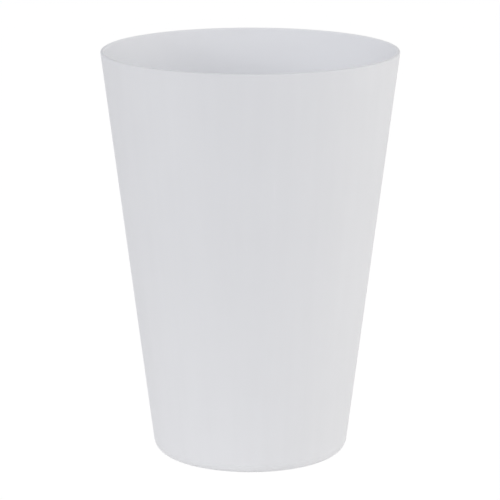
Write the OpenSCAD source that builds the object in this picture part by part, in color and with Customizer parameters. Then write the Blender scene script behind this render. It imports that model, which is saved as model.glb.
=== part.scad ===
// Reusable event cup: a plain drinking cup, injection moulded in one piece from white polypropylene.
// A tapered wall of even thickness runs from a rounded lip to a rounded heel. The floor is pushed up
// inside a narrow foot, and ribs in the bottom corner carry the next cup of a stack.
// Millimetres. The axis of the cup is Z, and the foot stands on Z = 0.

/* [Wall and lip] */
// Outside width across the lip
rim_d = 76; // [66:1:96]
// Height from the foot to the top of the lip
cup_h = 105; // [85:1:140]
// Outside width at the table if the wall ran straight down, with no heel
base_d = 49.4; // [40:0.2:58]
// Thickness of the wall
wall_t = 1; // [0.8:0.05:1.6]
// Radius of the rounding on the inner and the outer edge of the lip
lip_r = 0.42; // [0.15:0.01:0.6]

/* [Heel, foot and floor] */
// Outside radius of the heel, where the wall turns under
heel_r = 3.5; // [2.4:0.1:6]
// Thickness of the floor
floor_t = 1.2; // [0.8:0.1:2]
// Width of the flat ring that the cup stands on
foot_w = 1.6; // [0.8:0.1:4]
// Height of the pushed-up floor's underside above the table
push_up_h = 1.2; // [0.6:0.1:3]
// Slope of the step between the foot and the pushed-up floor, in degrees from the table
step_angle = 40; // [25:1:65]
// Radius of the two bends in that step, each on its tighter side
bend_r = 0.8; // [0.3:0.1:1.2]

/* [Stacking ribs] */
// Number of ribs
rib_n = 6; // [3:1:12]
// Thickness of a rib
rib_t = 1.1; // [0.8:0.1:2]
// How far a rib stands in from the wall, at the height where the next cup sits on it
rib_reach = 2.6; // [1.6:0.1:4]
// Height of a rib's top above the foot of the next cup
rib_lip_h = 0.9; // [0.5:0.1:2]
// Space between the walls of two stacked cups
stack_gap = 0.4; // [0.2:0.05:1]

/* [Gate] */
// Width of the dimple under the floor that keeps the gate's stub off the table
dimple_d = 7; // [5:0.5:10]
// Depth of that dimple
dimple_h = 0.4; // [0.2:0.05:0.6]
// Radius of the bends at the dimple's edge
dimple_bend_r = 0.4; // [0.1:0.05:0.5]
// Width of the stub that the gate leaves
stub_d = 1.8; // [1:0.1:3]
// Height of the stub, less than the dimple's depth
stub_h = 0.25; // [0.1:0.05:0.5]

/* [Hidden] */
$fn = 180;

// An arc is this much larger than the circle that just touches both sides, so that it crosses them cleanly
arc_growth = 1.001;
// The bit at a rounded corner reaches past the corner by this share of its own depth
corner_reach = 0.1;

// The lip keeps a flat of at least this width between its outer and inner roundings
lip_flat = 0.06;
lip_round = min(lip_r, (wall_t - lip_flat) / 2);

// The wall leans out by this angle. Its outer face touches the lip's rounding and runs to base_d at the table
lip_centre = [rim_d / 2 - lip_round, cup_h - lip_round];
from_base = lip_centre - [base_d / 2, 0];
lean = atan2(from_base.x, from_base.y) + asin(lip_round / norm(from_base));

// Radius of a line that lies inset from the outer face of the wall, at height z
function wall_x(z, inset = 0) = base_d / 2 + z * tan(lean) - inset / cos(lean);

// Radius at which the heel meets the foot's flat ring
foot_x = wall_x(heel_r, heel_r);
// Radius of each bend on its wider side, a floor's thickness away from the tighter one
wide_bend_r = bend_r + floor_t;
// Radii at which the underside's step would meet the table and the pushed-up floor if its bends were sharp
foot_in_x = foot_x - foot_w - wide_bend_r * tan(step_angle / 2);
panel_x = foot_in_x - push_up_h / tan(step_angle);

// Height of the dimple's ceiling, and the radius at which its sloped side meets it
dimple_z = push_up_h + dimple_h;
dimple_in_x = dimple_d / 2 - dimple_h / tan(step_angle);

// Rise of one cup above the next in a stack
stack_rise = (wall_t + stack_gap) / sin(lean);
rib_top = stack_rise + rib_lip_h;
rib_in_x = wall_x(stack_rise, wall_t) - rib_reach;

// The vector v at a length of 1
function unit(v) = v / norm(v);
// Half of the angle at a corner between the corners before and after it
function half_angle(before, corner, after) =
    acos(unit(before - corner) * unit(after - corner)) / 2;
// Centre of the arc of radius r that rounds the corner
function arc_centre(before, corner, after, r) =
    corner + unit(unit(before - corner) + unit(after - corner)) * r / sin(half_angle(before, corner, after));
// Points where that arc touches the two sides of the corner
function arc_ends(before, corner, after, r) =
    [for (side = [before, after])
        corner + unit(side - corner) * r / tan(half_angle(before, corner, after))];
// True where an outline that runs anticlockwise turns left
function turns_left(before, corner, after) = cross(corner - before, after - corner) > 0;

// Solid outline with an arc at each corner. A corner is [x, y, radius], and the outline runs anticlockwise.
// It is drawn about its own middle height and lifted back
module rounded_outline(corners) {
    count = len(corners);
    mid = (min([for (c = corners) c.y]) + max([for (c = corners) c.y])) / 2;
    p = [for (c = corners) [c.x, c.y - mid]];
    r = [for (c = corners) c.z];
    before = [for (i = [0 : count - 1]) p[(i + count - 1) % count]];
    after = [for (i = [0 : count - 1]) p[(i + 1) % count]];
    left = [for (i = [0 : count - 1]) turns_left(before[i], p[i], after[i])];

    // The bit between a sharp corner and its arc. It is added in a corner that turns right and cut off one
    // that turns left, and reaches a little past the corner
    module corner_bit(i) {
        ends = arc_ends(before[i], p[i], after[i], r[i]);
        past_corner = p[i] + (p[i] - (ends[0] + ends[1]) / 2) * corner_reach;
        difference() {
            polygon([past_corner, ends[1], ends[0]]);
            translate(arc_centre(before[i], p[i], after[i], r[i])) circle(r = r[i] * arc_growth);
        }
    }

    translate([0, mid]) difference() {
        union() {
            polygon(p);
            for (i = [0 : count - 1]) if (r[i] > 0 && !left[i]) corner_bit(i);
        }
        for (i = [0 : count - 1]) if (r[i] > 0 && left[i]) corner_bit(i);
    }
}

// Corners of the inside at a depth of wall and floor below the outer faces, from the heel in to the axis
function inside_corners(wall, floor) = [
    [wall_x(floor, wall), floor, heel_r - wall],
    [foot_in_x + floor * tan(step_angle / 2), floor, wide_bend_r - floor],
    [panel_x + floor * tan(step_angle / 2), push_up_h + floor, bend_r + floor],
    [0, push_up_h + floor, 0]
];

// Half of the cup's section. It runs from the gate's stub out under the floor to the heel, up the wall to the
// lip and down inside to the axis
module cup_section() {
    rounded_outline([
        [0, dimple_z - stub_h, 0],
        [stub_d / 2, dimple_z - stub_h, 0],
        [stub_d / 2, dimple_z, 0],
        [dimple_in_x, dimple_z, dimple_bend_r],
        [dimple_d / 2, push_up_h, dimple_bend_r],
        [panel_x, push_up_h, bend_r],
        [foot_in_x, 0, wide_bend_r],
        [base_d / 2, 0, heel_r],
        [wall_x(cup_h), cup_h, lip_round],
        [wall_x(cup_h, wall_t), cup_h, lip_round],
        each inside_corners(wall_t, floor_t)
    ]);
}

// Half of the space that a cup takes up when it stands in another one
module nested_cup() {
    rounded_outline([
        [0, 0, 0],
        [base_d / 2, 0, heel_r],
        [wall_x(cup_h), cup_h, 0],
        [0, cup_h, 0]
    ]);
}

// One rib in the bottom corner, rooted halfway into the wall and the floor. Its seat is hollowed to the heel
// of the next cup
module rib() {
    root = inside_corners(wall_t / 2, floor_t / 2);
    rotate([90, 0, 0]) linear_extrude(height = rib_t, center = true) difference() {
        intersection() {
            rounded_outline([
                for (i = [len(root) - 1 : -1 : 0]) root[i],
                [wall_x(rib_top, wall_t / 2), rib_top, 0],
                [0, rib_top, 0]
            ]);
            translate([rib_in_x, 0]) square([rim_d, cup_h]);
        }
        translate([0, stack_rise]) nested_cup();
    }
}

module cup() {
    color([0.86, 0.86, 0.88]) union() {
        rotate_extrude() cup_section();
        for (i = [0 : rib_n - 1]) rotate([0, 0, (i + 0.5) * 360 / rib_n]) rib();
    }
}

cup();
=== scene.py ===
"""The looks of a reusable event cup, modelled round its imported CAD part."""
import math

import bpy
from mathutils import Matrix, Vector


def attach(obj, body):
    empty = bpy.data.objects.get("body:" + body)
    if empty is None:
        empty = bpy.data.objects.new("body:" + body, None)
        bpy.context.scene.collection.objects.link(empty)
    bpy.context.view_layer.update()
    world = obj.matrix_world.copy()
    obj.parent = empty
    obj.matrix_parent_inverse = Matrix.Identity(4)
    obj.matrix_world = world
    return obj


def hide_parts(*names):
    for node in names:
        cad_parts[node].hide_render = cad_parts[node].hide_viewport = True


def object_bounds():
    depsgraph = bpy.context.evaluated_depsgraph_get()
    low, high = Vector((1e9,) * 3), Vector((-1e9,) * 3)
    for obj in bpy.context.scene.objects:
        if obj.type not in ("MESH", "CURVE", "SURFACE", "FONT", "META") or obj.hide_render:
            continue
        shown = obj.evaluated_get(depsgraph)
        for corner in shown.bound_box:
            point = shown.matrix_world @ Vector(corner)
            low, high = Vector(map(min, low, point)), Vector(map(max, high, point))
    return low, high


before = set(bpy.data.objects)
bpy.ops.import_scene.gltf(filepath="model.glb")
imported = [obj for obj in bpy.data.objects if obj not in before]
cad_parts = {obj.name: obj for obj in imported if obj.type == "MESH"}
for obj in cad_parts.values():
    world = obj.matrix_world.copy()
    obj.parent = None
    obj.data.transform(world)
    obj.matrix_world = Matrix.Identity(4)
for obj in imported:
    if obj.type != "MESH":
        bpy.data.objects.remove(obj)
cad_low, cad_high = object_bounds()
MM = 0.001


# The cup
# One injection moulding of white polypropylene, shot through a gate under the middle of the floor. The
# mould's cavity and core are turned on a lathe, so the half-section is drawn and spun round the axis.
CUP_H = cad_high.z
RIM_R = cad_high.x
BASE_R = 24.7 * MM
WALL = 1.0 * MM
FLOOR = 1.2 * MM
LIP_ROUND = 0.42 * MM
HEEL_ROUND = 3.5 * MM
FOOT_W = 1.6 * MM
PUSH_UP_H = 1.2 * MM
STEP_SLOPE = math.radians(40)
TIGHT_BEND = 0.8 * MM
WIDE_BEND = TIGHT_BEND + FLOOR
DIMPLE_R = 3.5 * MM
DIMPLE_H = 0.4 * MM
DIMPLE_BEND = 0.4 * MM
STUB_R = 0.9 * MM
STUB_H = 0.25 * MM

lip_from_base = Vector((RIM_R - LIP_ROUND - BASE_R, CUP_H - LIP_ROUND))
LEAN = math.atan2(*lip_from_base) + math.asin(LIP_ROUND / lip_from_base.length)


def wall_r(z, depth=0.0):
    """Radius, at height z, of the line that runs depth below the wall's outer face."""
    return BASE_R + z * math.tan(LEAN) - depth / math.cos(LEAN)


foot_r = wall_r(HEEL_ROUND, HEEL_ROUND)
step_low_r = foot_r - FOOT_W - WIDE_BEND * math.tan(STEP_SLOPE / 2)
step_high_r = step_low_r - PUSH_UP_H / math.tan(STEP_SLOPE)
dimple_z = PUSH_UP_H + DIMPLE_H


def inside_corners(wall, floor):
    """Corners of the surface at a depth of wall and floor, from the heel in to the axis."""
    shift = floor * math.tan(STEP_SLOPE / 2)
    return [
        (wall_r(floor, wall), floor, HEEL_ROUND - wall),
        (step_low_r + shift, floor, WIDE_BEND - floor),
        (step_high_r + shift, PUSH_UP_H + floor, TIGHT_BEND + floor),
        (0, PUSH_UP_H + floor, 0),
    ]


def round_corners(corners):
    """Strokes of an outline through (x, z, radius) corners, with an arc where there is a radius."""
    strokes = []
    for before, (x, z, radius), after in zip(corners, corners[1:], corners[2:]):
        corner = Vector((x, z))
        come = (corner - Vector(before[:2])).normalized()
        go = (Vector(after[:2]) - corner).normalized()
        turn = math.atan2(come.cross(go), come.dot(go))
        start = corner - come * radius * math.tan(abs(turn) / 2)
        strokes.append(("line", start))
        if radius:
            left = Vector((-come.y, come.x)) * math.copysign(radius, turn)
            strokes.append(("arc", start + left, turn))
    return strokes + [("line", Vector(corners[-1][:2]))]


def draw(start, strokes, longest_edge, arc_step):
    """Draws the strokes in the XZ plane as a chain of edges in a new object, and stays in edit mode."""
    bpy.ops.object.select_all(action="DESELECT")
    bpy.ops.mesh.primitive_plane_add(size=MM)
    bpy.ops.object.mode_set(mode="EDIT")
    bpy.ops.mesh.merge(type="CENTER")
    bpy.ops.transform.translate(value=(start[0], 0, start[1]))
    pen = Vector(start[:2])
    for kind, point, *turn in strokes:
        if kind == "line":
            steps = max(1, math.ceil((point - pen).length / longest_edge))
            step = (point - pen) / steps
            move = {"value": (step.x, 0, step.y)}
            for _ in range(steps):
                bpy.ops.mesh.extrude_vertices_move(TRANSFORM_OT_translate=move)
            pen = point
        else:
            steps = max(2, math.ceil(abs(turn[0]) / arc_step))
            bpy.ops.mesh.spin(steps=steps, angle=turn[0], center=(point.x, 0, point.y), axis=(0, 1, 0))
            pen = point + Matrix.Rotation(turn[0], 2) @ (pen - point)


ROUND_STEPS = 256
WALL_EDGE = 7 * MM
ARC_STEP = math.radians(9)
MERGE = 0.0005 * MM
SMOOTH_BELOW = math.radians(25)

section = [
    (0, dimple_z - STUB_H, 0),
    (STUB_R, dimple_z - STUB_H, 0),
    (STUB_R, dimple_z, 0),
    (DIMPLE_R - DIMPLE_H / math.tan(STEP_SLOPE), dimple_z, DIMPLE_BEND),
    (DIMPLE_R, PUSH_UP_H, DIMPLE_BEND),
    (step_high_r, PUSH_UP_H, TIGHT_BEND),
    (step_low_r, 0, WIDE_BEND),
    (BASE_R, 0, HEEL_ROUND),
    (wall_r(CUP_H), CUP_H, LIP_ROUND),
    (wall_r(CUP_H, WALL), CUP_H, LIP_ROUND),
] + inside_corners(WALL, FLOOR)
draw(section[0], round_corners(section), WALL_EDGE, ARC_STEP)
bpy.ops.mesh.select_all(action="SELECT")
bpy.ops.mesh.spin(steps=ROUND_STEPS, angle=2 * math.pi, center=(0, 0, 0), axis=(0, 0, 1))
bpy.ops.mesh.select_all(action="SELECT")
bpy.ops.mesh.remove_doubles(threshold=MERGE)
bpy.ops.mesh.normals_make_consistent(inside=False)
bpy.ops.object.mode_set(mode="OBJECT")
cup = bpy.context.object
cup.name = "moulded_cup"


# The stacking ribs
# Short ribs in the cup's bottom corner, part of the same moulding. The next cup of a stack rests its
# heel in their hollowed seats, so that the two walls keep apart and let go of each other.
RIB_COUNT = 6
RIB_T = 1.1 * MM
RIB_REACH = 2.6 * MM
RIB_LIP_H = 0.9 * MM
STACK_GAP = 0.4 * MM

stack_rise = (WALL + STACK_GAP) / math.sin(LEAN)
rib_top = stack_rise + RIB_LIP_H
rib_in_r = wall_r(stack_rise, WALL) - RIB_REACH
seat_centre = Vector((foot_r, stack_rise + HEEL_ROUND))
seat_turn = math.acos((HEEL_ROUND - RIB_LIP_H) / HEEL_ROUND)
root = inside_corners(WALL / 2, FLOOR / 2)
rib_start = (step_low_r, FLOOR / 2)
rib_corners = [rib_start, root[0], (wall_r(rib_top, WALL / 2), rib_top, 0), (0, rib_top, 0)]
rib_outline = round_corners(rib_corners)[:-1] + [
    ("line", seat_centre + HEEL_ROUND * Vector((math.sin(seat_turn), -math.cos(seat_turn)))),
    ("arc", seat_centre, -seat_turn),
    ("line", Vector((step_low_r, stack_rise))),
]
draw(rib_start, rib_outline, WALL_EDGE, ARC_STEP)
bpy.ops.mesh.select_all(action="SELECT")
bpy.ops.mesh.edge_face_add()
bpy.ops.transform.translate(value=(0, -RIB_T / 2, 0))
bpy.ops.mesh.extrude_region_move(TRANSFORM_OT_translate={"value": (0, RIB_T, 0)})
bpy.ops.mesh.select_all(action="SELECT")
bpy.ops.mesh.bisect(plane_co=(rib_in_r, 0, 0), plane_no=(1, 0, 0), use_fill=True, clear_inner=True)
bpy.ops.mesh.select_all(action="SELECT")
bpy.ops.mesh.normals_make_consistent(inside=False)
for _ in range(RIB_COUNT - 1):
    bpy.ops.mesh.duplicate()
    bpy.ops.transform.rotate(value=2 * math.pi / RIB_COUNT, orient_axis="Z", center_override=(0, 0, 0))
bpy.ops.mesh.select_all(action="SELECT")
bpy.ops.transform.rotate(value=math.pi / RIB_COUNT, orient_axis="Z", center_override=(0, 0, 0))
bpy.ops.object.mode_set(mode="OBJECT")
ribs = bpy.context.object

bpy.ops.object.select_all(action="DESELECT")
bpy.context.view_layer.objects.active = cup
join = cup.modifiers.new("ribs", "BOOLEAN")
join.operation = "UNION"
join.object = ribs
join.solver = "EXACT"
bpy.ops.object.modifier_apply(modifier=join.name)
bpy.data.objects.remove(ribs)
cup.select_set(True)
bpy.ops.object.shade_smooth_by_angle(angle=SMOOTH_BELOW)


# The cup's finish
# White polypropylene from a finely spark-eroded mould: a cool satin with no sharp highlight. The melt
# fans out from the gate and leaves faint streaks up the wall. The inside's lighter tone is painted
# light.
def linear(hex_colour):
    """A colour written as sRGB hex, as the linear values that a shader takes."""
    parts = [int(hex_colour[i:i + 2], 16) / 255 for i in (1, 3, 5)]
    return [p / 12.92 if p <= 0.04045 else ((p + 0.055) / 1.055) ** 2.4 for p in parts] + [1.0]


def add(tree, kind, values=(), **settings):
    """A new node with its settings. Its inputs are set to values, or linked where a socket is given."""
    node = tree.nodes.new(kind)
    for name, value in settings.items():
        setattr(node, name, value)
    for name, value in dict(values).items():
        if isinstance(value, bpy.types.NodeSocket):
            tree.links.new(value, node.inputs[name])
        else:
            node.inputs[name].default_value = value
    return node


WHITE_PP = "#E8E9EC"
STREAK_PP = "#E6E7EA"
# Painted light: the inside is coloured lighter, standing in for light coming through the wall
PAINTED_LIGHT_INSIDE_PP = "#F8F9FC"
PP_IOR = 1.49
SATIN_LEAST = 0.55
SATIN_MOST = 0.62
STREAK_W = 4.2 * MM
STREAK_L = 37 * MM
CLOUD = 30 * MM
WAVE = 18 * MM
WAVE_DEPTH = 0.04 * MM
# Spark erosion leaves pits of about 0.03 mm. They are drawn about ten times as coarse, so that they show
GRAIN = 0.35 * MM
GRAIN_DEPTH = 0.004 * MM
# The tone turns from the outside's to the inside's painted light between these depths in the wall, and
# above the heel
OUTSIDE_DEPTH = 0.3 * WALL
INSIDE_DEPTH = 0.7 * WALL
PAINTED_LIGHT_FROM = HEEL_ROUND
PAINTED_LIGHT_TO = 3 * HEEL_ROUND
# Stops of the outside's two tones on the ramp, which starts with the inside's painted lighter tone
WHITE_STOP = 0.12
STREAK_STOP = 0.4

satin = bpy.data.materials.new("white_polypropylene_satin_moulded")
satin.use_nodes = True
tree = satin.node_tree
shader = tree.nodes["Principled BSDF"]
shader.inputs["IOR"].default_value = PP_IOR
place = add(tree, "ShaderNodeTexCoord").outputs["Object"]

across = add(tree, "ShaderNodeVectorMath", {0: place, 1: (1, 1, 0)}, operation="MULTIPLY").outputs[0]
fan = add(tree, "ShaderNodeVectorMath", {0: across}, operation="NORMALIZE").outputs[0]
along = (0, 0, 1 / STREAK_L)
rise = add(tree, "ShaderNodeVectorMath", {0: place, 1: along}, operation="MULTIPLY").outputs[0]
round_cup = [RIM_R / STREAK_W] * 3
spread = {0: fan, 1: round_cup, 2: rise}
flow = add(tree, "ShaderNodeVectorMath", spread, operation="MULTIPLY_ADD").outputs[0]
fine = {"Vector": flow, "Scale": 1, "Detail": 3}
streaks = add(tree, "ShaderNodeTexNoise", fine).outputs["Fac"]
broad = {"Vector": place, "Scale": 1 / CLOUD, "Detail": 2}
clouds = add(tree, "ShaderNodeTexNoise", broad).outputs["Fac"]
mottle = add(tree, "ShaderNodeMath", {0: streaks, 1: clouds}, operation="MULTIPLY").outputs[0]

# The depth below the wall's outer face tells the painted lighter inside from the outside
height = add(tree, "ShaderNodeSeparateXYZ", {0: place}).outputs["Z"]
radius = add(tree, "ShaderNodeVectorMath", {0: across}, operation="LENGTH").outputs["Value"]
slope = {0: height, 1: math.tan(LEAN), 2: BASE_R}
face = add(tree, "ShaderNodeMath", slope, operation="MULTIPLY_ADD").outputs[0]
depth = add(tree, "ShaderNodeMath", {0: face, 1: radius}, operation="SUBTRACT").outputs[0]
past_middle = {"Value": depth, "From Min": OUTSIDE_DEPTH, "From Max": INSIDE_DEPTH}
inner = add(tree, "ShaderNodeMapRange", past_middle).outputs["Result"]
past_heel = {"Value": height, "From Min": PAINTED_LIGHT_FROM, "From Max": PAINTED_LIGHT_TO}
above = add(tree, "ShaderNodeMapRange", past_heel).outputs["Result"]
# Mask of the painted lighter tone: inside the wall's middle and above the heel
painted_light = add(tree, "ShaderNodeMath", {0: inner, 1: above}, operation="MULTIPLY").outputs[0]
no_painted_light = add(tree, "ShaderNodeMath", {0: 1, 1: painted_light}, operation="SUBTRACT").outputs[0]
tint = add(tree, "ShaderNodeMath", {0: mottle, 1: no_painted_light}, operation="MULTIPLY").outputs[0]
tone = add(tree, "ShaderNodeValToRGB", {"Fac": tint})
stops = tone.color_ramp.elements
stops[0].position, stops[0].color = 0, linear(PAINTED_LIGHT_INSIDE_PP)
stops[1].position, stops[1].color = STREAK_STOP, linear(STREAK_PP)
stops.new(WHITE_STOP).color = linear(WHITE_PP)
tree.links.new(tone.outputs["Color"], shader.inputs["Base Color"])

satin_range = {"Value": clouds, "To Min": SATIN_LEAST, "To Max": SATIN_MOST}
dull = add(tree, "ShaderNodeMapRange", satin_range)
tree.links.new(dull.outputs["Result"], shader.inputs["Roughness"])

swell = {"Vector": place, "Scale": 1 / WAVE, "Detail": 1}
wave = add(tree, "ShaderNodeTexNoise", swell).outputs["Fac"]
pits = {"Vector": place, "Scale": 1 / GRAIN, "Detail": 1}
grain = add(tree, "ShaderNodeTexNoise", pits).outputs["Fac"]
wavy = add(tree, "ShaderNodeBump", {"Height": wave, "Distance": WAVE_DEPTH}).outputs["Normal"]
grained = add(tree, "ShaderNodeBump", {"Height": grain, "Distance": GRAIN_DEPTH, "Normal": wavy})
tree.links.new(grained.outputs["Normal"], shader.inputs["Normal"])

cup.data.materials.clear()
cup.data.materials.append(satin)
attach(cup, "root")
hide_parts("cup")


# The table
# A plain matt white table top. The camera, gloss and clear plastic see it as white, mixed with a share
# of the lit surface, so that the cup keeps its soft shadow.
TABLE_R = 6.0
TABLE_SIDES = 96
TABLE_DROP = 0.02 * MM
TABLE_WHITE = "#F0F0F1"
TABLE_ROUGHNESS = 0.9
LIT_SHARE = 0.06
# The glow makes up for that share, so that the open table is just white
GLOW = 1.035

bpy.ops.object.select_all(action="DESELECT")
bpy.ops.mesh.primitive_circle_add(
    vertices=TABLE_SIDES, radius=TABLE_R, fill_type="NGON", location=(0, 0, -TABLE_DROP)
)
bpy.ops.object.transform_apply(location=True)
table_top = bpy.context.object
table_top.name = "table_top"
matt = bpy.data.materials.new("white_matt_table")
matt.use_nodes = True
tree = matt.node_tree
shader = tree.nodes["Principled BSDF"]
shader.inputs["Base Color"].default_value = linear(TABLE_WHITE)
shader.inputs["Roughness"].default_value = TABLE_ROUGHNESS
white = add(tree, "ShaderNodeEmission", {"Strength": GLOW}).outputs["Emission"]
path = add(tree, "ShaderNodeLightPath").outputs


def any_of(tree, *flags):
    """A socket that is 1 where any of the three flags is 1."""
    seen = add(tree, "ShaderNodeMath", {0: flags[0], 1: flags[1]}, operation="MAXIMUM").outputs[0]
    return add(tree, "ShaderNodeMath", {0: seen, 1: flags[2]}, operation="MAXIMUM").outputs[0]


SEEN_BY = ("Is Camera Ray", "Is Glossy Ray", "Is Transmission Ray")
seen = any_of(tree, *(path[name] for name in SEEN_BY))
share = add(tree, "ShaderNodeMath", {0: seen, 1: 1 - LIT_SHARE}, operation="MULTIPLY").outputs[0]
mixed = add(tree, "ShaderNodeMixShader", {"Fac": share, 1: shader.outputs["BSDF"], 2: white})
tree.links.new(mixed.outputs["Shader"], tree.nodes["Material Output"].inputs["Surface"])
table_top.data.materials.append(matt)


# The light
# A white room with soft square lamps. The front left one is low, so that the lip shades the inside
# behind it. The near one lights the right side most at the lip, and a pad lights the heel.
ROOM = "#FCFCFF"
# A level of 1 is as bright as a white wall
ROOM_LEVEL = 0.475
BACKDROP = "#FFFFFF"

world = bpy.data.worlds.new("white_room")
bpy.context.scene.world = world
world.use_nodes = True
tree = world.node_tree
room = tree.nodes["Background"]
room.inputs["Color"].default_value = linear(ROOM)
room.inputs["Strength"].default_value = ROOM_LEVEL
backdrop = add(tree, "ShaderNodeBackground").outputs["Background"]
backdrop.node.inputs["Color"].default_value = linear(BACKDROP)
path = add(tree, "ShaderNodeLightPath").outputs
seen = any_of(tree, *(path[name] for name in SEEN_BY))
mixed = add(tree, "ShaderNodeMixShader", {"Fac": seen, 1: room.outputs["Background"], 2: backdrop})
tree.links.new(mixed.outputs["Shader"], tree.nodes["World Output"].inputs["Surface"])

MIDDLE = Vector((0, 0, CUP_H / 2))


def toward(azimuth, elevation):
    """Unit vector from the cup to what stands at this azimuth, 0 at the camera and 90 on its right."""
    a, e = math.radians(azimuth), math.radians(elevation)
    return Vector((math.sin(a) * math.cos(e), -math.cos(a) * math.cos(e), math.sin(e)))


def softbox(name, azimuth, elevation, distance, size, level, colour):
    """A square lamp that faces the cup and can't be seen by the camera."""
    bpy.ops.object.light_add(type="AREA", location=MIDDLE + distance * toward(azimuth, elevation))
    lamp = bpy.context.object
    lamp.name = name
    lamp.rotation_euler = toward(azimuth, elevation).to_track_quat("Z", "Y").to_euler()
    lamp.data.size = size
    lamp.data.energy = level * math.pi * size ** 2
    lamp.data.color = linear(colour)[:3]
    lamp.visible_camera = False


# Distances of the lamps from the middle of the cup
FAR = 1.2
NEAR = 0.334
DAYLIGHT = "#FFFFFF"
WARM_WHITE = "#FFFDF8"
WARMER = "#FFFBF1"
softbox("front_softbox", 0, 26, FAR, 0.7, 1.48, DAYLIGHT)
softbox("low_front_left_softbox", -52, 16, FAR, 0.25, 9.3, DAYLIGHT)
softbox("high_left_softbox", -100, 35, FAR, 0.6, 1.0, DAYLIGHT)
softbox("low_right_softbox", 100, 8, FAR, 0.6, 2.0, WARMER)
softbox("near_right_softbox", 70, 26, NEAR, 0.15, 1.95, WARM_WHITE)

# The pad lies on the table and throws light up, as a white table top does
PAD_R = 150 * MM
PAD_LEVEL = 0.19
bpy.ops.object.light_add(type="AREA", location=(0, 0, -TABLE_DROP / 2), rotation=(math.pi, 0, 0))
pad = bpy.context.object
pad.name = "table_light_pad"
pad.data.shape = "DISK"
pad.data.size = 2 * PAD_R
pad.data.energy = PAD_LEVEL * math.pi * math.pi * PAD_R ** 2
pad.data.color = linear(WARMER)[:3]
pad.visible_camera = False
pad.visible_glossy = False


# The camera
# A long lens a little above the rim, aimed at the middle of the cup. It is solved from the ellipse of
# the lip, the lines of the two sides and the foot.
LENS = 212.4
DISTANCE = 0.76
ELEVATION = 12.86
AIM = Vector((-0.08, 0, 52.88)) * MM
CLIP_START = 0.1 * DISTANCE

bpy.ops.object.camera_add(location=AIM + DISTANCE * toward(0, ELEVATION))
camera = bpy.context.object
camera.rotation_euler = toward(0, ELEVATION).to_track_quat("Z", "Y").to_euler()
camera.data.lens = LENS
camera.data.clip_start = CLIP_START
bpy.context.scene.camera = camera
bpy.context.scene.view_settings.view_transform = "Standard"
